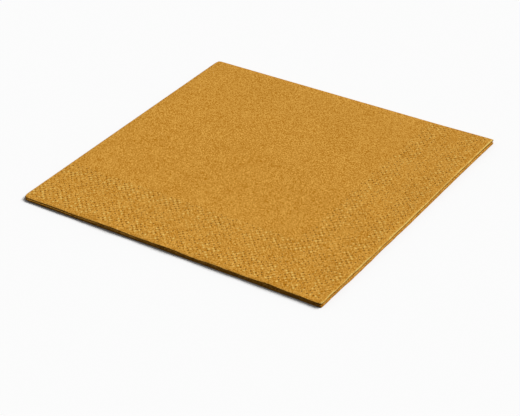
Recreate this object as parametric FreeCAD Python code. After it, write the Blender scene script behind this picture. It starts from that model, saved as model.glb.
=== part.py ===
"""A paper napkin: one square sheet of soft tissue, folded in half twice and lying flat.

The sheet is one closed solid. Its first fold runs along the back (+Y) and its second along the left (-X),
so the front and right sides show the cut edges of four leaves that lie loosely on each other. The leaves are
joined by three round bends and by one round corner, where the second fold bends the first.

Frame: the origin is at the centre of the underside, +Z points up, and the underside lies in Z = 0.

Each side of the sheet is nine patches: three zones from the right cut edge to the second fold and back, by
three zones from the front cut edge to the first fold and back. Rims close the two sides at the cut edges.
"""
import FreeCAD, Part
import math
import os

# Driving dimensions, in millimetres
SHEET_SIDE = 330.0        # side of the sheet, opened out
LEAF_THICKNESS = 0.30     # three plies of tissue
LEAF_GAP = 0.14           # air between two leaves at the cut edges, between the waves
FIRST_FOLD_LOFT = 0.18    # air that each gap gains at the first fold, where the bends spring open
SECOND_FOLD_LOFT = 0.08   # air that each gap gains at the second fold
LOFT_REACH = 38.0         # how far from a fold that air dies away
WAVE_HEIGHT = 0.12        # air that each gap gains under a wave of the cut edges
WAVE_LENGTH = 71.0        # from one wave to the next along a cut edge
WAVE_STEP = 27.0          # how far along the waves of one gap lie from those of the gap below it
WAVE_REACH = 60.0         # how far in from a cut edge the waves die away
OUTER_SETBACK = 0.6       # the outer leaves' front edges lie this far behind the inner ones' at the left
UPPER_SETBACK = 0.5       # the upper leaves' right edges lie this far inside the lower ones' at the back
CORNER_EASE = 1.5         # how far the two ends of the second fold are drawn in

# The leaves, counted from the bottom one as 0
UPPER_LEAVES = (3, 2)     # the outer one first
LOWER_LEAVES = (0, 1)     # those that the second fold leads the upper ones to
GAPS = 3

# How the surfaces are divided: each leaf in even spans of a cubic spline, each bend in one
DEGREE = 3
LEAF_SPANS = 10
ENDS = (0.0, 1.0)

# Control points (out, up) of a half turn of radius 1
HANDLE = 4.0 / 3.0
HALF_TURN = ((0.0, 1.0), (HANDLE, 1.0), (HANDLE, -1.0), (0.0, -1.0))

# The three zones of a patch, each way: the leaf on top, the bend, and the leaf that the bend leads under
OVER, BEND, UNDER = "over", "bend", "under"
ZONES = (OVER, BEND, UNDER)

half_side = SHEET_SIDE / 4.0
leaf_pitch = LEAF_THICKNESS + LEAF_GAP
corner_pitch = leaf_pitch + FIRST_FOLD_LOFT + SECOND_FOLD_LOFT
first_fold_y = half_side - (corner_pitch + LEAF_THICKNESS) / 2.0
second_fold_x = -half_side + (GAPS * corner_pitch + LEAF_THICKNESS) / 2.0
leaf_width = half_side - second_fold_x
leaf_depth = half_side + first_fold_y


def knots(spans, degree):
    """Knots of an evenly divided spline from 0 to 1, and how often each is repeated."""
    return [n / spans for n in range(spans + 1)], [degree + 1] + [1] * (spans - 1) + [degree + 1]


def even_shares(spans, degree):
    """Shares at which control points lie for the spline to run evenly from 0 to 1: each is the mean of as
    many knots in a row as the degree."""
    row = [place for place, repeats in zip(*knots(spans, degree)) for _ in range(repeats)]
    return [sum(row[n + 1:n + 1 + degree]) / degree for n in range(spans + degree)]


SHARES = even_shares(LEAF_SPANS, DEGREE)


def fade(distance, reach):
    """1 at no distance, 0 from reach on, level at both ends."""
    share = min(max(distance / reach, 0.0), 1.0)
    return (1.0 - share) ** 2 * (1.0 + 2.0 * share)


def pitch(gap, across, along):
    """Height from one leaf's middle surface to the next one's, at a share of the leaf's width from the
    second fold and a share of its depth from the first. It falls evenly along each fold, and from the folds
    to the flat leaves, whose gaps are opened a little by the waves of the cut edges."""
    right, back = across * leaf_width, along * leaf_depth
    lofty = 1.0 - (1.0 - fade(right, LOFT_REACH)) * (1.0 - fade(back, LOFT_REACH))
    at_folds = corner_pitch - FIRST_FOLD_LOFT * along - SECOND_FOLD_LOFT * across
    to_cut_edge = min(leaf_width - right, leaf_depth - back)
    turns = (right - back + gap * WAVE_STEP) / WAVE_LENGTH
    wave = (1.0 - math.cos(2.0 * math.pi * turns)) / 2.0
    at_edges = leaf_pitch + WAVE_HEIGHT * wave * fade(to_cut_edge, WAVE_REACH)
    return at_edges + (at_folds - at_edges) * lofty


def leaf_height(leaf, across, along):
    """Height of a leaf's middle surface."""
    return LEAF_THICKNESS / 2.0 + sum(pitch(gap, across, along) for gap in range(leaf))


def half_turn(start, end, direction):
    """Control points (place, height) from one end of a bend round to the other, both at one place: the bend
    stands out from it in the direction given, by half the difference of the two heights."""
    (place, start_height), (_, end_height) = start, end
    centre, radius = (start_height + end_height) / 2.0, (start_height - end_height) / 2.0
    return [(place + direction * abs(radius) * out, centre + radius * up) for out, up in HALF_TURN]


def profile(zone, leaves, across, along_shares, offset):
    """Control points (along, y, z) of one zone of two leaves that the first fold joins, at one share of the
    width: the outer leaf from its front edge back, the bend, or the inner leaf back to the front. The offset
    is how far this side of the sheet lies outside the sheet's middle surface."""
    outer, inner = leaves
    outward = offset if outer > inner else -offset
    depth = leaf_depth - OUTER_SETBACK * (1.0 - across)
    if zone == OVER:
        return [(along, first_fold_y - along * depth, leaf_height(outer, across, along) + outward)
                for along in reversed(along_shares)]
    if zone == UNDER:
        return [(along, first_fold_y - along * leaf_depth, leaf_height(inner, across, along) - outward)
                for along in along_shares]
    start = first_fold_y, leaf_height(outer, across, 0.0) + outward
    end = first_fold_y, leaf_height(inner, across, 0.0) - outward
    return [(0.0, y, z) for y, z in half_turn(start, end, 1.0)]


def leaf_columns(zone, profile_zone, offset):
    """Columns of points (x, along, y, z) of the upper two leaves, from the right edge in to the second fold,
    or of the lower two leaves back out to the right."""
    across_shares = ENDS if profile_zone == BEND else SHARES
    leaves = UPPER_LEAVES if zone == OVER else LOWER_LEAVES
    setback = UPPER_SETBACK if zone == OVER else 0.0
    columns = []
    for across in reversed(across_shares) if zone == OVER else across_shares:
        points = profile(profile_zone, leaves, across, SHARES, offset)
        columns.append([(second_fold_x + across * (leaf_width - setback * (1.0 - along)), along, y, z)
                        for along, y, z in points])
    return columns


def bend_columns(profile_zone, offset):
    """Columns of points (x, along, y, z) of the second fold, from the upper leaves round to the lower."""
    upper = profile(profile_zone, UPPER_LEAVES, 0.0, ENDS, offset)
    lower = profile(profile_zone, LOWER_LEAVES, 0.0, ENDS, offset)
    rows = []
    for (along, y, start_height), (_, _, end_height) in zip(upper, lower):
        turn = half_turn((second_fold_x, start_height), (second_fold_x, end_height), -1.0)
        rows.append([(x, along, y, z) for x, z in turn])
    return list(zip(*rows))


def patch_points(zone, profile_zone, offset):
    """Control points of one patch, column by column, with both ends of the second fold drawn in."""
    if zone == BEND:
        columns = bend_columns(profile_zone, offset)
    else:
        columns = leaf_columns(zone, profile_zone, offset)
    fold_width = second_fold_x + half_side
    points = []
    for column in columns:
        points.append([])
        for x, along, y, z in column:
            draw = CORNER_EASE * max(second_fold_x - x, 0.0) / fold_width
            points[-1].append(FreeCAD.Vector(x, y + draw * (2.0 * along - 1.0), z))
    return points


def surface(columns):
    """The surface with these control points: straight between two of them, a cubic spline through more."""
    settings = []
    for count in (len(columns), len(columns[0])):
        degree = 1 if count == len(ENDS) else DEGREE
        settings.append((degree, *knots(count - degree, degree)))
    (u_degree, u_places, u_repeats), (v_degree, v_places, v_repeats) = settings
    spline = Part.BSplineSurface()
    spline.buildFromPolesMultsKnots(columns, u_repeats, v_repeats, u_places, v_places, False, False,
                                    u_degree, v_degree)
    return spline.toShape()


def flat_face(face):
    """The plane face inside the borders of a face that lies flat."""
    borders = [edge.Curve.toShape(*edge.ParameterRange) for edge in face.Edges]
    return Part.Face(Part.Wire(Part.__sortEdges__(borders)))


def sheet_faces():
    """The patches of both sides of the sheet, the bottom leaf's as a plane, and the rims between them."""
    faces = []
    for zone in ZONES:
        for profile_zone in ZONES:
            outside = patch_points(zone, profile_zone, LEAF_THICKNESS / 2.0)
            inside = patch_points(zone, profile_zone, -LEAF_THICKNESS / 2.0)
            outside_face = surface(outside)
            is_underside = (zone, profile_zone) == (UNDER, OVER)
            faces.append(flat_face(outside_face) if is_underside else outside_face)
            faces.append(surface(inside))
            if zone != BEND:
                right = 0 if zone == OVER else -1
                faces.append(surface([outside[right], inside[right]]))
            if profile_zone != BEND:
                front = 0 if profile_zone == OVER else -1
                faces.append(surface([[column[front] for column in side] for side in (outside, inside)]))
    return faces


def napkin():
    """The folded sheet as one closed solid."""
    shell = Part.makeShell(sheet_faces())
    shell.sewShape()
    solid = Part.Solid(shell)
    if solid.Volume < 0.0:
        solid.reverse()
    return solid


os.makedirs("parts", exist_ok=True)
napkin().exportStep("parts/napkin.step")
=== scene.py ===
"""A paper napkin, dressed: one sheet of soft tissue, folded in half twice, with an embossed border.

The sheet is one closed mesh. Both of its sides and the plies along its cut edges are worked out on one
square lattice of nodes over the flat sheet, which numpy folds up as whole arrays. The lattice is fine where
the sheet bends, is cut or is embossed, and coarse elsewhere.

Lengths are in metres. The origin is at the centre of the underside, +Z points up, the first fold runs along
+Y and the second along -X, and the cut edges face -Y and +X.
"""
import logging
import math
from dataclasses import dataclass, field, replace
from enum import Enum

import bpy
import numpy as np
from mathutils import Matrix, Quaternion, Vector


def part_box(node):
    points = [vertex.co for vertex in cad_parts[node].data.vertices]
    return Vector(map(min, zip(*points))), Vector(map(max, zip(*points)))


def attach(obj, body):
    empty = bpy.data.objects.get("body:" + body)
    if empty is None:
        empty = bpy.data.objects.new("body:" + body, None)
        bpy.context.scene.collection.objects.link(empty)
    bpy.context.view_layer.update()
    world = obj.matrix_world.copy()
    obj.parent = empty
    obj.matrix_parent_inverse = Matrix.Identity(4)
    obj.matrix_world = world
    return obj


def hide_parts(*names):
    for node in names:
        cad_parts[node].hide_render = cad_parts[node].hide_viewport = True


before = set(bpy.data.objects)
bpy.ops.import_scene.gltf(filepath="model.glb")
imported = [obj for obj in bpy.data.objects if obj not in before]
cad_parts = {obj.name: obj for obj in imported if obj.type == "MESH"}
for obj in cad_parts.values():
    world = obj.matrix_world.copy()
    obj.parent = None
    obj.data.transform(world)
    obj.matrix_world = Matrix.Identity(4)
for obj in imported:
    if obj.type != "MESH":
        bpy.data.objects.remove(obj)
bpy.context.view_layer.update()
LOG = logging.getLogger("napkin")
MM = 0.001


def fade(distance: np.ndarray, reach: float) -> np.ndarray:
    """Falls smoothly with distance: (1 - share) squared times (1 + 2 share), with share = distance / reach.

    Args:
        distance: how far each point lies from where the value is 1.
        reach: how far from there the value is 0.

    Returns:
        The value at each point, from 1 to 0 and level at both ends.
    """
    share = np.clip(distance / reach, 0.0, 1.0)
    return (1.0 - share) ** 2 * (1.0 + 2.0 * share)


def direction(azimuth: float, elevation: float) -> Vector:
    """Points away from the origin: level, the vector is the azimuth's sine along X and its cosine along -Y.

    Args:
        azimuth: degrees from -Y towards +X.
        elevation: degrees up from the floor.

    Returns:
        The unit vector.
    """
    turn, rise = math.radians(azimuth), math.radians(elevation)
    return Vector((math.sin(turn) * math.cos(rise), -math.cos(turn) * math.cos(rise), math.sin(rise)))


class Seed(Enum):
    """Where the random draws of each kind begin. Those for several gaps, plies or ways count on from it."""

    RIPPLES = 33
    COCKLES = 43
    WANDER = 53
    PLIES = 63
    PITS = 73
    STRAY = 83
    SWELLINGS = 93
    PATCHES = 103
    EDGE = 113


class Side(Enum):
    """The two sides of the sheet, by how far each lies outside its middle surface, in half thicknesses."""

    OUTSIDE = 1.0
    INSIDE = -1.0


@dataclass(frozen=True)
class Ripples:
    """A random smooth surface: a sum of like cosine waves, each with a direction and phase of its own."""

    shortest: float
    longest: float
    seed: int
    count: int = 9

    def at(self, x: np.ndarray, y: np.ndarray) -> np.ndarray:
        """Adds up cos(wave vector . point + phase) over the waves and scales the sum to lie about 0.5.

        Args:
            x: places of the points along X.
            y: places of the points along Y.

        Returns:
            The height at each point, from 0 to 1.
        """
        draw = np.random.default_rng(self.seed)
        lengths = np.exp(draw.uniform(math.log(self.shortest), math.log(self.longest), self.count))
        headings = draw.uniform(0.0, 2.0 * math.pi, self.count)
        phases = draw.uniform(0.0, 2.0 * math.pi, self.count)
        turns = 2.0 * math.pi / lengths
        along_x, along_y = turns * np.cos(headings), turns * np.sin(headings)
        waves = np.cos(x[..., None] * along_x + y[..., None] * along_y + phases)
        return np.clip(0.5 + waves.sum(axis=-1) / math.sqrt(8.0 * self.count), 0.0, 1.0)


@dataclass(frozen=True)
class Strip:
    """A strip of the embossed border: how far from each cut edge it starts and ends, and its strength."""

    from_right: tuple[float, float]
    from_front: tuple[float, float]
    strength: float = 1.0


@dataclass(frozen=True)
class Emboss:
    """The embossed border: two strips of small round pits along the cut edges, and fainter ones between.

    The pits stand in every second cell of the lattice, as on the black squares of a chessboard, and the
    tissue swells up in the others. Soft tissue takes the emboss unevenly, so the strips have soft sides, each
    pit strays a little and is more or less deep, and the emboss is weaker in patches and strongest in front.
    """

    strips: tuple[Strip, ...] = (Strip((0.6 * MM, 14.5 * MM), (0.6 * MM, 16.5 * MM)),
                                 Strip((21.5 * MM, 36.5 * MM), (24.5 * MM, 38.5 * MM)),
                                 Strip((9.5 * MM, 26.5 * MM), (11.5 * MM, 29.5 * MM), 0.70))
    soft_side: float = 3.2 * MM
    least_level: float = 0.12
    radius: float = 0.48 * MM
    depth: float = 0.22 * MM
    swelling: float = 0.05 * MM
    stray: float = 0.22 * MM
    faintest: float = 0.0
    weakest: float = 0.82
    strong_reach: float = 90.0 * MM
    patchiness: float = 0.15
    shortest_patch: float = 7.0 * MM
    longest_patch: float = 28.0 * MM

    def level(self, from_right: np.ndarray, from_front: np.ndarray) -> np.ndarray:
        """How far each place lies inside a strip: 0 at its sides and outside it, up to the strip's strength.

        The depth in a strip is the lesser of two lengths: how far the place is past the strip's start at both
        cut edges, and how far it is short of the strip's end at either. The level is 1 less the fade of the
        depth, times the strength.

        Args:
            from_right: how far each place lies from the cut edge on the right.
            from_front: how far it lies from the cut edge at the front.

        Returns:
            The level at each place, the greatest of the strips'.
        """
        level = np.zeros(np.broadcast(from_right, from_front).shape)
        for strip in self.strips:
            past_start = np.minimum(from_right - strip.from_right[0], from_front - strip.from_front[0])
            before_end = np.maximum(strip.from_right[1] - from_right, strip.from_front[1] - from_front)
            inside = 1.0 - fade(np.minimum(past_start, before_end), self.soft_side)
            level = np.maximum(level, strip.strength * inside)
        return level

    def strengths(self, from_right: np.ndarray, from_front: np.ndarray, seed: Seed) -> np.ndarray:
        """Draws how strongly each cell is embossed.

        It is an even spread from the faintest to 1, times the level in the strip, times a fade from 1 at the
        front to the weakest, less the patchiness times a random smooth surface.

        Args:
            from_right: how far each cell lies from the cut edge on the right.
            from_front: how far it lies from the cut edge at the front.
            seed: which draw.

        Returns:
            A strength from 0 to 1 for each cell.
        """
        patches = Ripples(self.shortest_patch, self.longest_patch, Seed.PATCHES.value)
        patchy = 1.0 - self.patchiness * patches.at(from_right, from_front)
        frontal = self.weakest + (1.0 - self.weakest) * fade(from_front, self.strong_reach)
        spread = np.random.default_rng(seed.value).uniform(self.faintest, 1.0, from_front.size)
        return spread * self.level(from_right, from_front) * frontal * patchy


@dataclass(frozen=True)
class Folding:
    """Where each point of the flat sheet lies once the sheet is folded.

    A leaf's place is given by two shares: across, from the second fold out to the right cut edge, and along,
    from the first fold out to the front cut edge. A turn from 0 to pi leads round each fold.
    """

    half_side: float
    thickness: float = 0.30 * MM
    leaf_gap: float = 0.14 * MM
    first_fold_loft: float = 0.18 * MM
    second_fold_loft: float = 0.08 * MM
    loft_reach: float = 38.0 * MM
    wave_height: float = 0.12 * MM
    wave_length: float = 71.0 * MM
    wave_step: float = 27.0 * MM
    wave_reach: float = 60.0 * MM
    outer_setback: float = 0.6 * MM
    upper_setback: float = 0.1 * MM
    slot_depth: float = 0.6 * MM
    slot_reach: float = 20.0 * MM
    ripple_heights: tuple[float, float, float] = (0.14 * MM, 0.34 * MM, 0.14 * MM)
    ripple_reach: float = 16.0 * MM
    shortest_ripple: float = 9.0 * MM
    longest_ripple: float = 32.0 * MM
    cockle_height: float = 0.10 * MM
    shortest_cockle: float = 24.0 * MM
    longest_cockle: float = 70.0 * MM
    corner_lift: float = 0.30 * MM
    lift_reach: float = 34.0 * MM
    bow: float = 0.45 * MM
    bow_power: int = 3
    flare: float = 0.70 * MM
    flare_power: int = 6
    wander: float = 0.40 * MM
    left_corner_radius: float = 4.2 * MM
    far_corner_radius: float = 3.0 * MM
    cut_corner_radius: float = 0.5 * MM

    upper_leaves: tuple[int, int] = (3, 2)
    lower_leaves: tuple[int, int] = (0, 1)

    @property
    def flat_side(self) -> float:
        """Side of the sheet, opened out."""
        return 4.0 * self.half_side

    @property
    def gaps(self) -> int:
        """How many gaps there are between the leaves."""
        return max(self.upper_leaves)

    @property
    def corner_pitch(self) -> float:
        """Height from one leaf to the next where the two folds meet."""
        return self.thickness + self.leaf_gap + self.first_fold_loft + self.second_fold_loft

    @property
    def first_fold_y(self) -> float:
        """Where the leaves end and the bends of the first fold begin."""
        return self.half_side - (self.corner_pitch + self.thickness) / 2.0

    @property
    def second_fold_x(self) -> float:
        """Where the leaves end and the bends of the second fold begin."""
        return -self.half_side + (self.gaps * self.corner_pitch + self.thickness) / 2.0

    @property
    def leaf_width(self) -> float:
        """Width of a leaf, from the second fold to the cut edge."""
        return self.half_side - self.second_fold_x

    @property
    def leaf_depth(self) -> float:
        """Depth of a leaf, from the first fold to the cut edge."""
        return self.half_side + self.first_fold_y

    def pitch(self, gap: int, across: np.ndarray, along: np.ndarray) -> np.ndarray:
        """Height from one leaf's middle surface to the next one's.

        At the folds it falls evenly along each fold. At the cut edges it is the thickness and the gap, with a
        cosine wave that dies away inwards and, close to the edge, random ripples. In between it eases from
        one to the other, with broad random cockles added. The middle gap opens at the right end of the first
        fold, where the two bends stand apart.

        Args:
            gap: which gap, counted from the lowest as 0.
            across: share of the leaf's width, from the second fold.
            along: share of its depth, from the first fold.

        Returns:
            The height at each place.
        """
        right, back = across * self.leaf_width, along * self.leaf_depth
        lofty = 1.0 - (1.0 - fade(right, self.loft_reach)) * (1.0 - fade(back, self.loft_reach))
        at_folds = self.corner_pitch - self.first_fold_loft * along - self.second_fold_loft * across
        to_cut_edge = np.minimum(self.leaf_width - right, self.leaf_depth - back)
        turns = (right - back + gap * self.wave_step) / self.wave_length
        wave = (1.0 - np.cos(2.0 * math.pi * turns)) / 2.0
        ripples = Ripples(self.shortest_ripple, self.longest_ripple, Seed.RIPPLES.value + gap).at(right, back)
        cockles = Ripples(self.shortest_cockle, self.longest_cockle, Seed.COCKLES.value + gap).at(right, back)
        at_edges = self.thickness + self.leaf_gap
        at_edges = at_edges + self.wave_height * wave * fade(to_cut_edge, self.wave_reach)
        at_edges = at_edges + self.ripple_heights[gap] * ripples * fade(to_cut_edge, self.ripple_reach)
        at_edges = at_edges + self.cockle_height * cockles
        height = at_edges + (at_folds - at_edges) * lofty
        if gap == min(self.upper_leaves) - 1:
            from_corner = np.hypot(self.leaf_width - right, back)
            height = height + self.corner_lift * fade(from_corner, self.lift_reach)
        return height

    def leaf_height(self, leaf: int, across: np.ndarray, along: np.ndarray) -> np.ndarray:
        """Height of a leaf's middle surface: half a thickness plus the pitches of all the gaps under it.

        Args:
            leaf: which leaf, counted from the bottom one as 0.
            across: share of the leaf's width, from the second fold.
            along: share of its depth, from the first fold.

        Returns:
            The height at each place.
        """
        height = np.full(np.broadcast(across, along).shape, self.thickness / 2.0)
        for gap in range(leaf):
            height += self.pitch(gap, across, along)
        return height

    def profile(self, leaves: tuple[int, int], across: np.ndarray, along: np.ndarray, turn: np.ndarray,
                offset: float) -> tuple[np.ndarray, np.ndarray]:
        """Section of two leaves that the first fold joins, from the outer leaf round to the inner one.

        The height is the mean of the two leaves' plus half their difference times the cosine of the turn. The
        place along Y is the fold's, less the share of the depth, plus that half difference times the sine.

        Args:
            leaves: the outer leaf and the inner one.
            across: share of the leaf's width, one row of nodes for each.
            along: share of its depth, one column of nodes for each.
            turn: the angle round the first fold, one column of nodes for each.
            offset: how far this side lies outside the sheet's middle surface.

        Returns:
            The places along Y and the heights.
        """
        outer, inner = leaves
        outward = offset if outer > inner else -offset
        start = self.leaf_height(outer, across, along) + outward
        end = self.leaf_height(inner, across, along) - outward
        radius = (start - end) / 2.0
        is_outer = turn < math.pi / 2.0
        depth = self.leaf_depth - np.where(is_outer, self.outer_setback * (1.0 - across), 0.0)
        y = self.first_fold_y - along * depth + np.abs(radius) * np.sin(turn)
        return y, (start + end) / 2.0 + radius * np.cos(turn)

    def wandering(self, across: np.ndarray, along: np.ndarray, leaf_number: np.ndarray,
                  seed: int) -> np.ndarray:
        """How far the nodes of each leaf stray in its own plane: random ripples, strongest at the cut edges.

        Args:
            across: share of the leaf's width.
            along: share of its depth.
            leaf_number: which leaf each node lies in, so that each leaf has ripples of its own.
            seed: which draw.

        Returns:
            The distance for each node.
        """
        right, back = across * self.leaf_width, along * self.leaf_depth
        shift = leaf_number * self.half_side
        ripples = Ripples(self.shortest_ripple, self.longest_cockle, seed).at(right + shift, back)
        return self.wander * (ripples - 0.5) * across * along

    def rounded(self, x: np.ndarray, y: np.ndarray) -> tuple[np.ndarray, np.ndarray]:
        """Rounds the corners in plan, each by its own radius.

        Inside the square of a corner's radius, with a and b from 0 to 1 towards the corner, a becomes a times
        the root of (1 - b squared / 2), and b the same with a, which turns the square into a quarter disc.

        Args:
            x: places of the nodes along X.
            y: places of the nodes along Y.

        Returns:
            The new places.
        """
        corners = ((-1.0, -1.0, self.left_corner_radius), (-1.0, 1.0, self.far_corner_radius),
                   (1.0, -1.0, self.cut_corner_radius), (1.0, 1.0, self.cut_corner_radius))
        for x_sign, y_sign, radius in corners:
            start = self.half_side - radius
            a = np.maximum(x * x_sign - start, 0.0) / radius
            b = np.maximum(y * y_sign - start, 0.0) / radius
            x = x + x_sign * radius * a * (np.sqrt(1.0 - np.minimum(b, 1.0) ** 2 / 2.0) - 1.0)
            y = y + y_sign * radius * b * (np.sqrt(1.0 - np.minimum(a, 1.0) ** 2 / 2.0) - 1.0)
        return x, y

    def place(self, across: np.ndarray, x_turn: np.ndarray, along: np.ndarray, y_turn: np.ndarray,
              side: Side) -> np.ndarray:
        """Folds a lattice of nodes: the section of the upper leaves turns round into that of the lower ones.

        The height is the mean of the two sections' plus half their difference times the cosine of the turn
        round the second fold. The place along X is the fold's, plus the share of the width, less that half
        difference times the sine. The right cut edges bow out in the middle by half a sine wave, and flare at
        the first fold. The upper inner leaf ends further in than its neighbours, which leaves a slot.

        Args:
            across: share of the leaf's width, for each row of nodes.
            x_turn: the angle round the second fold, for each row.
            along: share of the leaf's depth, for each column of nodes.
            y_turn: the angle round the first fold, for each column.
            side: which side of the sheet.

        Returns:
            An array of points, rows by columns by 3.
        """
        across, x_turn = across[:, None], x_turn[:, None]
        along, y_turn = along[None, :], y_turn[None, :]
        offset = side.value * self.thickness / 2.0
        upper_y, upper_z = self.profile(self.upper_leaves, across, along, y_turn, offset)
        lower_y, lower_z = self.profile(self.lower_leaves, across, along, y_turn, offset)
        radius = (upper_z - lower_z) / 2.0
        z = (upper_z + lower_z) / 2.0 + radius * np.cos(x_turn)
        is_upper, is_outer = x_turn < math.pi / 2.0, y_turn < math.pi / 2.0
        width = self.leaf_width - np.where(is_upper, self.upper_setback * (1.0 - along), 0.0)
        slot = self.slot_depth * (1.0 - fade(along * self.leaf_depth, self.slot_reach))
        width = width - np.where(is_upper & ~is_outer, slot, 0.0)
        x = self.second_fold_x + across * width - np.abs(radius) * np.sin(x_turn)
        y = upper_y + (lower_y - upper_y) * (1.0 - np.cos(x_turn)) / 2.0
        leaf_number = np.where(is_upper, np.where(is_outer, 3.0, 2.0), np.where(is_outer, 0.0, 1.0))
        x, y = self.rounded(x, y)
        x = x + self.wandering(across, along, leaf_number, Seed.WANDER.value)
        outwards = self.bow * np.sin(math.pi * along) + self.flare * (1.0 - along) ** self.flare_power
        x = x + across ** self.bow_power * outwards
        y = y + self.wandering(across, along, leaf_number, Seed.WANDER.value + 1)
        return np.stack([x, y, z], axis=-1)


@dataclass
class MeshParts:
    """Vertices and faces as they are gathered: points, flat places, how far each is pressed in, which also
    sets its painted highlight and shade, and faces.
    """

    points: list[np.ndarray] = field(default_factory=list)
    flats: list[np.ndarray] = field(default_factory=list)
    pressed: list[np.ndarray] = field(default_factory=list)
    faces: list[np.ndarray] = field(default_factory=list)
    count: int = 0
    sharp_angle: float = 50.0

    def add_points(self, points: np.ndarray, flats: np.ndarray, pressed: np.ndarray) -> np.ndarray:
        """Adds vertices.

        Args:
            points: their places, with a last axis of 3.
            flats: their places on the flat sheet, with a last axis of 2.
            pressed: how far each is pressed in, from -1 where it stands proud to 1 at the bottom of a pit, or
            a cut edge's tone on the same scale. Below 0 it paints a highlight; above 0 it darkens the colour,
            partly as painted shade.

        Returns:
            Their numbers, in the shape of the points without the last axis.
        """
        numbers = self.count + np.arange(pressed.size).reshape(pressed.shape)
        self.points.append(points.reshape(-1, 3))
        self.flats.append(flats.reshape(-1, 2))
        self.pressed.append(pressed.ravel())
        self.count += pressed.size
        return numbers

    def add_faces(self, *corners: np.ndarray, turned: bool = False) -> None:
        """Adds faces of three or four corners.

        Args:
            corners: one array of vertex numbers for each corner in turn.
            turned: whether the corners run the other way round.
        """
        faces = np.stack(np.broadcast_arrays(*corners), axis=-1).reshape(-1, len(corners))
        self.faces.append(faces[:, ::-1] if turned else faces)

    def mesh(self, name: str) -> bpy.types.Mesh:
        """Builds the mesh of the vertices that a face uses, with a flat UV map and the attribute "pressed".

        Args:
            name: the mesh's name.

        Returns:
            The mesh, smooth but for its sharp edges.
        """
        corners = np.concatenate([faces.ravel() for faces in self.faces])
        sizes = np.concatenate([np.full(len(faces), faces.shape[1]) for faces in self.faces])
        used, corners = np.unique(corners, return_inverse=True)
        points = np.concatenate(self.points)[used]
        flats = np.concatenate(self.flats)[used]
        mesh = bpy.data.meshes.new(name)
        mesh.vertices.add(len(points))
        mesh.vertices.foreach_set("co", points.ravel())
        mesh.loops.add(len(corners))
        mesh.loops.foreach_set("vertex_index", corners.ravel())
        mesh.polygons.add(len(sizes))
        mesh.polygons.foreach_set("loop_start", np.cumsum(sizes) - sizes)
        mesh.update(calc_edges=True)
        uv_map = mesh.uv_layers.new(name="flat sheet")
        uv_map.data.foreach_set("uv", flats[corners.ravel()].ravel())
        press = mesh.attributes.new("pressed", "FLOAT", "POINT")
        press.data.foreach_set("value", np.concatenate(self.pressed)[used])
        mesh.polygons.foreach_set("use_smooth", np.ones(len(sizes), bool))
        mesh.set_sharp_from_angle(angle=math.radians(self.sharp_angle))
        return mesh


@dataclass(frozen=True)
class Lattice:
    """The nodes of one side: their numbers in the mesh, their places, and their places on the flat sheet."""

    nodes: np.ndarray
    points: np.ndarray
    flats: np.ndarray

    def round_cells(self, row: np.ndarray, column: np.ndarray) -> tuple[np.ndarray, ...]:
        """Looks up the four nodes round each cell.

        Args:
            row: the cells' rows.
            column: their columns.

        Returns:
            The nodes' numbers, places and flat places, each with a first axis of four.
        """
        corners = (row, column), (row, column + 1), (row + 1, column + 1), (row + 1, column)
        held = self.nodes, self.points, self.flats
        return tuple(np.stack([values[at] for at in corners]) for values in held)


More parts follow.
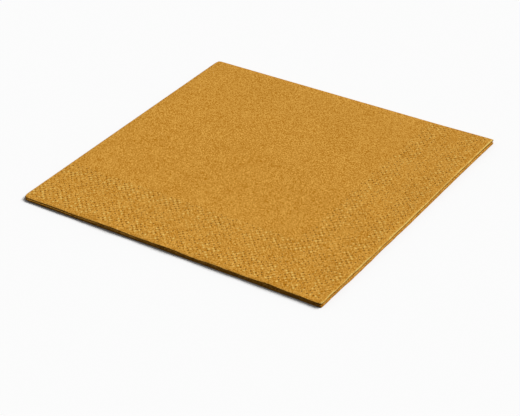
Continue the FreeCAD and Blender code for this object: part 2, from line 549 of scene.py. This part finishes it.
@dataclass
class NapkinSheet:
    """The folded sheet as a mesh.

    The lattice has the same lines both ways: a leaf's cells, the bend's cells, and the other leaf's cells.
    Blocks of 4 by 4 cells are left whole where the sheet is plain and flat.
    """

    folding: Folding
    emboss: Emboss
    node: str = "napkin"
    leaf_cells: int = 116
    bend_cells: int = 12
    block: int = 4
    ring_points: int = 8
    plies: int = 3
    ply_bulge: float = 0.05 * MM
    ply_groove: float = 0.10 * MM
    ply_stagger: float = 0.09 * MM
    shortest_stagger: float = 3.0 * MM
    longest_stagger: float = 14.0 * MM
    # Painted highlight along the outside's cut edges, stronger on the right edge, which faces the lamp.
    right_edge_highlight: float = -0.62
    right_edge_shares: tuple[float, float] = (0.5, 1.2)
    front_edge_highlight: float = -0.20
    # Tones of the plies on the cut edges: the grooves and the upper leaves' right plies are painted shade.
    ply_tone: float = 0.04
    upper_right_ply_shade: float = 0.26
    groove_shade: float = 0.5

    @property
    def cells(self) -> int:
        """Cells of the lattice, each way."""
        return 2 * self.leaf_cells + self.bend_cells

    def lines(self) -> tuple[np.ndarray, np.ndarray]:
        """Where each line of the lattice lies in the fold.

        Returns:
            The share of a leaf's length from the fold, and the turn round the fold, for each line.
        """
        number = np.arange(self.cells + 1)
        share = np.maximum(self.leaf_cells - number, number - self.leaf_cells - self.bend_cells)
        turn = np.clip(number - self.leaf_cells, 0, self.bend_cells) * math.pi / self.bend_cells
        return np.maximum(share, 0) / self.leaf_cells, turn

    def flat_lines(self, leaf_length: float) -> np.ndarray:
        """Where each line of the lattice lies on the flat sheet.

        Args:
            leaf_length: a leaf's length across the lines.

        Returns:
            The place of each line, as a share of the sheet's side.
        """
        at = [0, self.leaf_cells, self.leaf_cells + self.bend_cells, self.cells]
        share = leaf_length / self.folding.flat_side
        return np.interp(np.arange(self.cells + 1), at, [0.0, share, 1.0 - share, 1.0])

    def cells_from_edge(self) -> np.ndarray:
        """How many whole cells lie between each cell and the nearer cut edge, in its row or column."""
        number = np.arange(self.cells)
        return np.minimum(number, self.cells - 1 - number)

    def from_cuts(self) -> tuple[np.ndarray, np.ndarray]:
        """How far the centres of the cells lie from the two cut edges.

        Returns:
            The distance from the right edge for each row of cells, and from the front edge for each column.
        """
        middles = (self.cells_from_edge() + 0.5) / self.leaf_cells
        return middles * self.folding.leaf_width, middles * self.folding.leaf_depth

    def from_cuts_at(self, row: np.ndarray, column: np.ndarray) -> tuple[np.ndarray, np.ndarray]:
        """How far the centres of these cells lie from the right cut edge and from the front one."""
        from_right, from_front = self.from_cuts()
        return from_right[row], from_front[column]

    def embossed_cells(self) -> tuple[np.ndarray, np.ndarray]:
        """Says which cells of the outside hold a pit and which swell up, in turn, in the border.

        Returns:
            Two arrays over the cells: those with a pit, and those that swell up.
        """
        from_edge, (from_right, from_front) = self.cells_from_edge(), self.from_cuts()
        black = (from_edge[:, None] + from_edge[None, :]) % 2 == 0
        outer_columns = np.arange(self.cells) < self.leaf_cells
        on_outer_leaf = (from_edge[:, None] < self.leaf_cells) & outer_columns[None, :]
        level = self.emboss.level(from_right[:, None], from_front[None, :])
        embossed = on_outer_leaf & (level > self.emboss.least_level)
        return embossed & black, embossed & ~black

    def fine_blocks(self, embossed: np.ndarray) -> np.ndarray:
        """Says which blocks are divided into cells: in the bends, at the cut edges, or with embossed cells.

        Args:
            embossed: which cells are embossed.

        Returns:
            True for each block that is divided.
        """
        blocks = self.cells // self.block
        fine = embossed.reshape(blocks, self.block, blocks, self.block).any(axis=(1, 3))
        number = np.arange(blocks) * self.block
        in_bend = (number >= self.leaf_cells) & (number < self.leaf_cells + self.bend_cells)
        at_edge = (number == 0) | (number == self.cells - self.block)
        special = in_bend | at_edge
        return fine | special[:, None] | special[None, :]

    def add_side(self, parts: MeshParts, side: Side, pits: np.ndarray, swellings: np.ndarray) -> np.ndarray:
        """Adds one side of the sheet. The outside has a painted highlight along its cut edges, uneven on the
        right.

        Args:
            parts: what the mesh is gathered in.
            side: which side.
            pits: which cells hold a pit.
            swellings: which cells swell up.

        Returns:
            The numbers of the lattice's nodes.
        """
        share, turn = self.lines()
        points = self.folding.place(share, turn, share, turn, side)
        flats = np.stack(np.meshgrid(self.flat_lines(self.folding.leaf_width),
                                     self.flat_lines(self.folding.leaf_depth), indexing="ij"), axis=-1)
        pressed = np.zeros(points.shape[:2])
        # Painted highlight along the cut edges, uneven and stronger on the right, where the lamp falls.
        if side is Side.OUTSIDE:
            pressed[:, 0] = self.front_edge_highlight
            uneven = Ripples(self.shortest_stagger, self.longest_stagger, Seed.EDGE.value)
            least, most = self.right_edge_shares
            shares = least + (most - least) * uneven.at(points[0, :, 1], points[0, :, 2])
            pressed[0, :] = self.right_edge_highlight * shares
        lattice = Lattice(parts.add_points(points, flats, pressed), points, flats)
        fine = self.fine_blocks(pits | swellings)
        turned = side is Side.INSIDE
        plain = np.kron(fine, np.ones((self.block, self.block), bool)) & ~pits & ~swellings
        parts.add_faces(*lattice.round_cells(*np.nonzero(plain))[0], turned=turned)
        self.add_blocks(parts, lattice.nodes, fine, turned)
        if pits.any():
            self.add_pits(parts, lattice, pits)
            self.add_swellings(parts, lattice, swellings)
        return lattice.nodes

    def add_blocks(self, parts: MeshParts, nodes: np.ndarray, fine: np.ndarray, turned: bool) -> None:
        """Adds the whole blocks.

        Each is one face or, beside a divided block, triangles round the middle node that meet each of the
        divided block's nodes.

        Args:
            parts: what the mesh is gathered in.
            nodes: the numbers of the lattice's nodes.
            fine: which blocks are divided.
            turned: whether the corners run the other way round.
        """
        padded = np.pad(fine, 1)
        beside = (padded[:-2, 1:-1], padded[1:-1, 2:], padded[2:, 1:-1], padded[1:-1, :-2])
        touching = np.logical_or.reduce(beside) & ~fine
        row, column = np.nonzero(~fine & ~touching)
        step = self.block
        near, far = row * step, (row + 1) * step
        left, right = column * step, (column + 1) * step
        parts.add_faces(nodes[near, left], nodes[near, right], nodes[far, right], nodes[far, left],
                        turned=turned)
        row, column = np.nonzero(touching)
        middle = nodes[row * step + step // 2, column * step + step // 2]
        corners = ((0, 0), (0, 1), (1, 1), (1, 0))
        for number, divided in enumerate(beside):
            start, end = corners[number], corners[(number + 1) % 4]
            is_divided = divided[row, column]
            for chosen, pieces in ((is_divided, step), (~is_divided, 1)):
                shares = np.arange(pieces + 1) * (step // pieces)
                rows = row[chosen, None] * step + start[0] * step + (end[0] - start[0]) * shares
                columns = column[chosen, None] * step + start[1] * step + (end[1] - start[1]) * shares
                ring = nodes[rows, columns]
                parts.add_faces(middle[chosen, None], ring[:, :-1], ring[:, 1:], turned=turned)

    @staticmethod
    def outward(held: np.ndarray) -> np.ndarray:
        """Unit normals of cells on the outside: the cross product of the second and the last side."""
        normal = np.cross(held[1] - held[0], held[3] - held[0])
        return normal / np.linalg.norm(normal, axis=-1, keepdims=True)

    def add_pits(self, parts: MeshParts, lattice: Lattice, pits: np.ndarray) -> None:
        """Adds a cell with a round pit for each one marked.

        A ring of points stands about the pit's centre, level with the sheet, and one point in the centre lies
        deeper by the pit's depth. A point's place is the mean of the cell's corners, weighted by how near it
        is to each, less its depth times the sheet's outward normal. Each pit strays a little and is more or
        less deep, as soft tissue takes the emboss unevenly.

        Args:
            parts: what the mesh is gathered in.
            lattice: the nodes of the outside.
            pits: which cells hold a pit.
        """
        row, column = np.nonzero(pits)
        strength = self.emboss.strengths(*self.from_cuts_at(row, column), Seed.PITS)
        cell = self.folding.leaf_width / self.leaf_cells
        draw = np.random.default_rng(Seed.STRAY.value)
        stray = draw.uniform(-1.0, 1.0, (2, row.size, 1)) * self.emboss.stray / cell
        angle = np.arange(self.ring_points) * 2.0 * math.pi / self.ring_points
        reach = np.append(np.full(self.ring_points, self.emboss.radius / cell), 0.0)
        u = 0.5 + stray[0] + reach * np.append(np.cos(angle), 0.0)
        v = 0.5 + stray[1] + reach * np.append(np.sin(angle), 0.0)
        weights = np.stack([(1 - u) * (1 - v), (1 - u) * v, u * v, u * (1 - v)])
        outer, held, flat = lattice.round_cells(row, column)
        ring = np.einsum("knp,knc->npc", weights, held)
        ring[:, -1] -= self.outward(held) * self.emboss.depth * strength[:, None]
        # The centre's strength darkens the colour: the denser pressed tissue, plus painted shade in the pit.
        pressed = np.zeros(ring.shape[:2])
        pressed[:, -1] = strength
        new = parts.add_points(ring, np.einsum("knp,knc->npc", weights, flat), pressed)
        rim, centre = new[:, :-1], new[:, -1]
        next_rim = np.roll(rim, -1, axis=1)
        parts.add_faces(centre[:, None], next_rim, rim)
        # The ring's points, counted from the +row direction, lie two to each quarter between the corners
        quarter = self.ring_points // 4
        for number, (corner, following) in enumerate(zip(outer[::-1], np.roll(outer[::-1], -1, axis=0))):
            first = (number * quarter - quarter) % self.ring_points
            for step in range(quarter):
                at = (first + step) % self.ring_points
                parts.add_faces(rim[:, at], rim[:, (at + 1) % self.ring_points], corner)
            parts.add_faces(rim[:, (first + quarter) % self.ring_points], following, corner)

    def add_swellings(self, parts: MeshParts, lattice: Lattice, swellings: np.ndarray) -> None:
        """Adds four triangles for each cell marked, round a point in the middle.

        It stands proud on the top leaf, and the weight of the napkin keeps it level on the bottom one.

        Args:
            parts: what the mesh is gathered in.
            lattice: the nodes of the outside.
            swellings: which cells swell up.
        """
        row, column = np.nonzero(swellings)
        outer, held, flat = lattice.round_cells(row, column)
        normal = self.outward(held)
        strength = self.emboss.strengths(*self.from_cuts_at(row, column), Seed.SWELLINGS)
        proud = np.where(normal[:, 2] > 0.0, self.emboss.swelling * strength, 0.0)
        places = held.mean(axis=0) + normal * proud[:, None]
        # The negative strength paints a highlight on the swelling.
        centre = parts.add_points(places, flat.mean(axis=0), -strength)
        for start, end in zip(outer, np.roll(outer, -1, axis=0)):
            parts.add_faces(centre, start, end)

    def boundary(self) -> tuple[np.ndarray, np.ndarray]:
        """Goes once round the lattice's outer nodes.

        Returns:
            Their rows and their columns.
        """
        last = self.cells
        up, down = np.arange(last), np.arange(last, 0, -1)
        rows = np.concatenate([up, np.full(last, last), down, np.zeros(last, int)])
        columns = np.concatenate([np.zeros(last, int), up, np.full(last, last), down])
        return rows, columns

    def add_rim(self, parts: MeshParts, outside: np.ndarray, inside: np.ndarray) -> None:
        """Adds the cut edges: each ply bulges out, with a groove between it and the next, and the plies end
        unevenly.

        Across the thickness the edge stands out by the bulge at the middle of a ply and in by the groove
        between two, plus a random stagger of each ply along the edge. Painted shade makes the grooves darker
        than the plies, and the plies of the upper leaves' right edge darker than the others.

        Args:
            parts: what the mesh is gathered in.
            outside: the numbers of the nodes on the outside.
            inside: the numbers of those on the inside.
        """
        rows, columns = self.boundary()
        points = np.concatenate(parts.points)
        inner_rows = np.clip(rows, 1, self.cells - 1)
        inner_columns = np.clip(columns, 1, self.cells - 1)
        ends = points[outside[rows, columns]], points[inside[rows, columns]]
        inwards = points[outside[inner_rows, inner_columns]] + points[inside[inner_rows, inner_columns]]
        outward = (ends[0] + ends[1] - inwards) * (1.0, 1.0, 0.0)
        outward /= np.linalg.norm(outward, axis=-1, keepdims=True)
        flats = np.concatenate(parts.flats)[outside[rows, columns]]
        along = np.cumsum(np.linalg.norm(np.diff(ends[0], axis=0, append=ends[0][:1]), axis=-1))
        strips = [outside[rows, columns]]
        steps = 2 * self.plies
        for step in range(1, steps):
            share = step / steps
            # The grooves get painted shade, and so do the plies of the upper leaves' right edge.
            stand, tone = np.full(rows.size, -self.ply_groove), np.full(rows.size, self.groove_shade)
            if step % 2:
                stagger = Ripples(self.shortest_stagger, self.longest_stagger, Seed.PLIES.value + step // 2)
                stand = self.ply_bulge + self.ply_stagger * (stagger.at(along, np.zeros(rows.size)) - 0.5)
                tone = np.where(rows == 0, self.upper_right_ply_shade, self.ply_tone)
            place = ends[0] * (1.0 - share) + ends[1] * share + outward * stand[:, None]
            strips.append(parts.add_points(place, flats, tone))
        strips.append(inside[rows, columns])
        for upper, lower in zip(strips, strips[1:]):
            parts.add_faces(upper, np.roll(upper, -1), np.roll(lower, -1), lower)

    def build(self) -> bpy.types.Object:
        """Returns:
            The sheet's object.
        """
        parts = MeshParts()
        pits, swellings = self.embossed_cells()
        plain = np.zeros_like(pits)
        outside = self.add_side(parts, Side.OUTSIDE, pits, swellings)
        inside = self.add_side(parts, Side.INSIDE, plain, plain)
        self.add_rim(parts, outside, inside)
        sheet = bpy.data.objects.new("folded_sheet", parts.mesh("folded_sheet"))
        bpy.context.scene.collection.objects.link(sheet)
        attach(sheet, "root")
        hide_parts(self.node)
        LOG.info("sheet: %d pits, %d faces", int(pits.sum()), len(sheet.data.polygons))
        return sheet


class Shade:
    """A socket of a shader's node tree, with sums and products that add Math nodes."""

    def __init__(self, tree: bpy.types.NodeTree, socket: bpy.types.NodeSocket) -> None:
        """Wraps an output socket of a node in this tree."""
        self.tree = tree
        self.socket = socket

    def node(self, kind: str, settings: dict[str, object], inputs: dict[str | int, object],
             output: str | int = 0) -> "Shade":
        """Adds a node to the same tree.

        Args:
            kind: the node's type.
            settings: its own settings, set first.
            inputs: values or links of its sockets, by name or number.
            output: which of its outputs is given back.

        Returns:
            That output, wrapped.
        """
        node = self.tree.nodes.new(kind)
        for name, value in settings.items():
            setattr(node, name, value)
        for name, value in inputs.items():
            if isinstance(value, Shade):
                value.feed(node, name)
            else:
                node.inputs[name].default_value = value
        return Shade(self.tree, node.outputs[output])

    def maths(self, operation: str, *values: object, clamp: bool = False) -> "Shade":
        """Adds a Math node on these numbers or sockets. Clamped, its result stays between 0 and 1."""
        settings = {"operation": operation, "use_clamp": clamp}
        return self.node("ShaderNodeMath", settings, dict(enumerate(values)))

    def __add__(self, other: object) -> "Shade":
        """Self plus other."""
        return self.maths("ADD", self, other)

    def __sub__(self, other: object) -> "Shade":
        """Self less other."""
        return self.maths("SUBTRACT", self, other)

    def __rsub__(self, other: object) -> "Shade":
        """Other less self."""
        return self.maths("SUBTRACT", other, self)

    def __mul__(self, other: object) -> "Shade":
        """Self times other."""
        return self.maths("MULTIPLY", self, other)

    __radd__ = __add__
    __rmul__ = __mul__

    def feed(self, node: bpy.types.Node, name: str | int) -> None:
        """Links this socket to an input of a node."""
        self.tree.links.new(self.socket, node.inputs[name])

    def mix(self, low: object, high: object) -> "Shade":
        """Mixes two colours, values or sockets, with self as the share of the second.

        Args:
            low: the colour where self is 0.
            high: the colour where self is 1.

        Returns:
            The mixed colour.
        """
        return self.node("ShaderNodeMix", {"data_type": "RGBA"}, {"Factor": self, "A": low, "B": high}, 2)

    def span(self, low: float, high: float) -> "Shade":
        """Stretches the values between low and high to 0 to 1, eased at both ends."""
        return self.node("ShaderNodeMapRange", {"interpolation_type": "SMOOTHSTEP"},
                         {"Value": self, "From Min": low, "From Max": high})

    def noise(self, grain: "Grain") -> "Shade":
        """Noise on these coordinates.

        The coordinates are turned and then divided by the size of the features. After that they are tilted,
        because noise is dull along the planes of its own lattice, and the sheet's faces would lie along one.

        Args:
            grain: what the noise is like.

        Returns:
            Its values, about 0.5.
        """
        scale = tuple(grain.size * way for way in grain.stretch)
        placed = self.node("ShaderNodeMapping", {"vector_type": "TEXTURE"},
                           {"Vector": self, "Rotation": (0.0, 0.0, math.radians(grain.turn)), "Scale": scale})
        tilt = tuple(math.radians(angle) for angle in grain.tilt)
        tilted = self.node("ShaderNodeMapping", {}, {"Vector": placed, "Rotation": tilt})
        return self.node("ShaderNodeTexNoise", {}, {
            "Vector": tilted, "Scale": 1.0, "Detail": grain.detail, "Roughness": grain.octave_weight,
            "Distortion": grain.curl})


def new_material(name: str) -> tuple[bpy.types.Material, bpy.types.Node, Shade]:
    """Makes a material with a Principled BSDF.

    Args:
        name: the material's name.

    Returns:
        The material, its shader node, and its Object coordinates.
    """
    material = bpy.data.materials.new(name)
    material.use_nodes = True
    tree = material.node_tree
    coordinates = tree.nodes.new("ShaderNodeTexCoord").outputs["Object"]
    return material, tree.nodes["Principled BSDF"], Shade(tree, coordinates)


@dataclass(frozen=True)
class Grain:
    """One layer of noise: the size of its features, and how much they tell in the colour and the relief."""

    size: float
    tone: float = 0.0
    relief: float = 0.0
    detail: float = 1.0
    octave_weight: float = 0.6
    stretch: tuple[float, float, float] = (1.0, 1.0, 1.0)
    turn: float = 0.0
    curl: float = 0.0
    tilt: tuple[float, float, float] = (31.0, 23.0, 0.0)


@dataclass(frozen=True)
class TissueFinish:
    """Soft uncoated tissue: clouded and flecked colour, short fibres in all directions, and a fine crepe."""

    light: tuple[float, float, float, float] = (0.74, 0.395, 0.072, 1.0)
    dark: tuple[float, float, float, float] = (0.40, 0.150, 0.001, 1.0)
    # Pit colour: the denser pressed tissue, plus painted shade in the pits and in the cut edges' grooves.
    pit: tuple[float, float, float, float] = (0.04, 0.014, 0.001, 1.0)
    # Painted highlight on the swellings of the emboss and along the cut edges.
    painted_highlight: tuple[float, float, float, float] = (0.86, 0.700, 0.210, 1.0)
    clouds: Grain = Grain(16.0 * MM, tone=0.30, detail=3.0)
    mottle: Grain = Grain(2.6 * MM, tone=0.4)
    flecks: Grain = Grain(0.60 * MM, tone=4.6, relief=0.9, detail=3.0)
    fibres: Grain = Grain(0.26 * MM, tone=3.3, relief=0.6, stretch=(6.0, 1.0, 1.0), curl=0.8)
    fibre_turns: tuple[float, ...] = (17.0, 76.0, 139.0)
    fibre_middle: float = 0.59
    crepe: Grain = Grain(0.28 * MM, relief=0.35, stretch=(12.0, 1.0, 4.0))
    middle_tone: float = 0.48
    pit_span: tuple[float, float] = (0.0, 0.40)
    pit_share: float = 0.96
    highlight_span: tuple[float, float] = (0.12, 0.70)
    highlight_share: float = 0.66
    bump_strength: float = 0.8
    bump_depth: float = 0.10 * MM
    roughness: float = 0.95
    specular: float = 0.12

    def fibre_noise(self, start: Shade) -> Shade:
        """Short fibres that lie in several directions: the greatest of a few stretched noises.

        Args:
            start: the coordinates.

        Returns:
            Its values, about the fibres' middle.
        """
        layers = [start.noise(replace(self.fibres, turn=turn)) for turn in self.fibre_turns]
        greatest = layers[0]
        for layer in layers[1:]:
            greatest = greatest.maths("MAXIMUM", greatest, layer)
        return greatest

    def make(self) -> bpy.types.Material:
        """Makes the material.

        The tone is its middle plus each layer of grain, less that layer's middle, times its weight, and mixes
        the dark colour with the light one. Painted highlight makes the colour paler where the sheet swells up
        and along the cut edges. The colour is darker in the pits, from the denser pressed tissue and from
        painted shade, and painted shade darkens the grooves and the upper leaves' right plies of the cut
        edges. The bump is the sum of the layers times their reliefs.

        Returns:
            The material.
        """
        material, shader, start = new_material("tissue")
        flecks, fibres = start.noise(self.flecks), self.fibre_noise(start)
        tone = self.middle_tone + self.clouds.tone * (start.noise(self.clouds) - 0.5)
        tone = tone + self.mottle.tone * (start.noise(self.mottle) - 0.5)
        tone = tone + self.flecks.tone * (flecks - 0.5) + self.fibres.tone * (fibres - self.fibre_middle)
        colour = tone.maths("MAXIMUM", tone, 0.0, clamp=True).mix(self.dark, self.light)
        pressed = start.node("ShaderNodeAttribute", {"attribute_name": "pressed"}, {}, "Fac")
        # Painted highlight where the sheet swells up and along the cut edges; darker pits from pressed tissue
        # plus painted shade; painted shade in the cut edges' grooves and upper right plies.
        colour = (self.highlight_share * (0.0 - pressed).span(*self.highlight_span)).mix(colour, self.painted_highlight)
        colour = (self.pit_share * pressed.span(*self.pit_span)).mix(colour, self.pit)
        colour.feed(shader, "Base Color")
        height = self.flecks.relief * flecks + self.fibres.relief * fibres
        height = height + self.crepe.relief * start.noise(self.crepe)
        bump = start.node("ShaderNodeBump", {}, {"Height": height, "Strength": self.bump_strength,
                                                 "Distance": self.bump_depth})
        bump.feed(shader, "Normal")
        shader.inputs["Roughness"].default_value = self.roughness
        shader.inputs["Specular IOR Level"].default_value = self.specular
        return material


@dataclass(frozen=True)
class Studio:
    """Plain pale floor, an even world and one broad soft light from the right and behind."""

    floor_side: float = 60.0
    floor_seen: float = 0.97
    floor_bounce: float = 0.12
    floor_roughness: float = 0.9
    floor_height: float = -0.02 * MM
    world_level: float = 0.20
    lamp_level: float = 0.80
    lamp_breadth: float = 34.0
    lamp_azimuth: float = 137.0
    lamp_elevation: float = 48.0

    @staticmethod
    def seen_by_camera(start: Shade) -> Shade:
        """Tells rays of sight from those that light the object.

        Args:
            start: any socket of the tree.

        Returns:
            1 for rays from the camera, mirrors and glass, and 0 for the others.
        """
        paths = [start.node("ShaderNodeLightPath", {}, {}, name)
                 for name in ("Is Camera Ray", "Is Glossy Ray", "Is Transmission Ray")]
        return start.maths("MAXIMUM", paths[0], start.maths("MAXIMUM", paths[1], paths[2]))

    def add_floor(self) -> None:
        """Adds the floor, whose colour is paler in view than it is where it throws light back."""
        half = self.floor_side / 2.0
        mesh = bpy.data.meshes.new("floor")
        plan = ((-half, -half), (half, -half), (half, half), (-half, half))
        corners = [(x, y, self.floor_height) for x, y in plan]
        mesh.from_pydata(corners, [], [(0, 1, 2, 3)])
        floor = bpy.data.objects.new("floor", mesh)
        bpy.context.scene.collection.objects.link(floor)
        material, shader, start = new_material("floor")
        bounce, seen = ((level, level, level, 1.0) for level in (self.floor_bounce, self.floor_seen))
        self.seen_by_camera(start).mix(bounce, seen).feed(shader, "Base Color")
        shader.inputs["Roughness"].default_value = self.floor_roughness
        shader.inputs["Specular IOR Level"].default_value = 0.0
        mesh.materials.append(material)

    def add_world(self) -> None:
        """Adds the world: white in view, and an even dimmer light on the object."""
        world = bpy.data.worlds.new("studio")
        world.use_nodes = True
        tree = world.node_tree
        background = tree.nodes["Background"]
        start = Shade(tree, background.outputs[0])
        level = self.world_level + (1.0 - self.world_level) * self.seen_by_camera(start)
        level.feed(background, "Strength")
        background.inputs["Color"].default_value = (1.0, 1.0, 1.0, 1.0)
        bpy.context.scene.world = world

    def add_lamp(self) -> None:
        """Adds the light.

        Its strength is the wished level times pi over the sine of its elevation, which gives a white level
        surface that level.
        """
        data = bpy.data.lights.new("lamp", "SUN")
        data.angle = math.radians(self.lamp_breadth)
        data.energy = self.lamp_level * math.pi / math.sin(math.radians(self.lamp_elevation))
        lamp = bpy.data.objects.new("lamp", data)
        lamp.rotation_mode = "QUATERNION"
        away = direction(self.lamp_azimuth, self.lamp_elevation)
        lamp.rotation_quaternion = away.to_track_quat("Z", "Y")
        bpy.context.scene.collection.objects.link(lamp)

    def build(self) -> None:
        """Adds the floor, the world and the lamp, and plain view settings."""
        self.add_floor()
        self.add_world()
        self.add_lamp()
        bpy.context.scene.view_settings.view_transform = "Standard"
        LOG.info("studio: floor, world and one lamp")


@dataclass(frozen=True)
class PhotoCamera:
    """The camera that fits the photograph, found from the four edges of the napkin's top face."""

    aim: tuple[float, float, float] = (18.84 * MM, -31.86 * MM, 1.9 * MM)
    azimuth: float = 33.25
    elevation: float = 32.19
    distance: float = 727.6 * MM
    roll: float = -0.74
    focal_pixels: float = 1567.4
    image_width: float = 520.0
    sensor_width: float = 36.0
    clip_start: float = 0.01
    clip_end: float = 50.0

    def build(self) -> None:
        """Adds the camera and makes it the scene's own."""
        back = direction(self.azimuth, self.elevation)
        data = bpy.data.cameras.new("camera")
        data.sensor_width = self.sensor_width
        data.lens = self.focal_pixels / self.image_width * self.sensor_width
        data.clip_start = self.clip_start
        data.clip_end = self.clip_end
        camera = bpy.data.objects.new("camera", data)
        camera.location = Vector(self.aim) + back * self.distance
        camera.rotation_mode = "QUATERNION"
        level = (-back).to_track_quat("-Z", "Y")
        camera.rotation_quaternion = level @ Quaternion((0.0, 0.0, 1.0), math.radians(self.roll))
        bpy.context.scene.collection.objects.link(camera)
        bpy.context.scene.camera = camera
        LOG.info("camera: %.1f mm lens", data.lens)


def main() -> None:
    """Builds the napkin, the studio and the camera."""
    logging.basicConfig(level=logging.INFO, format="%(message)s")
    low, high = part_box("napkin")
    napkin = NapkinSheet(Folding(half_side=(high[0] - low[0]) / 2.0), Emboss()).build()
    napkin.data.materials.append(TissueFinish().make())
    Studio().build()
    PhotoCamera().build()


if __name__ == "__main__":
    main()
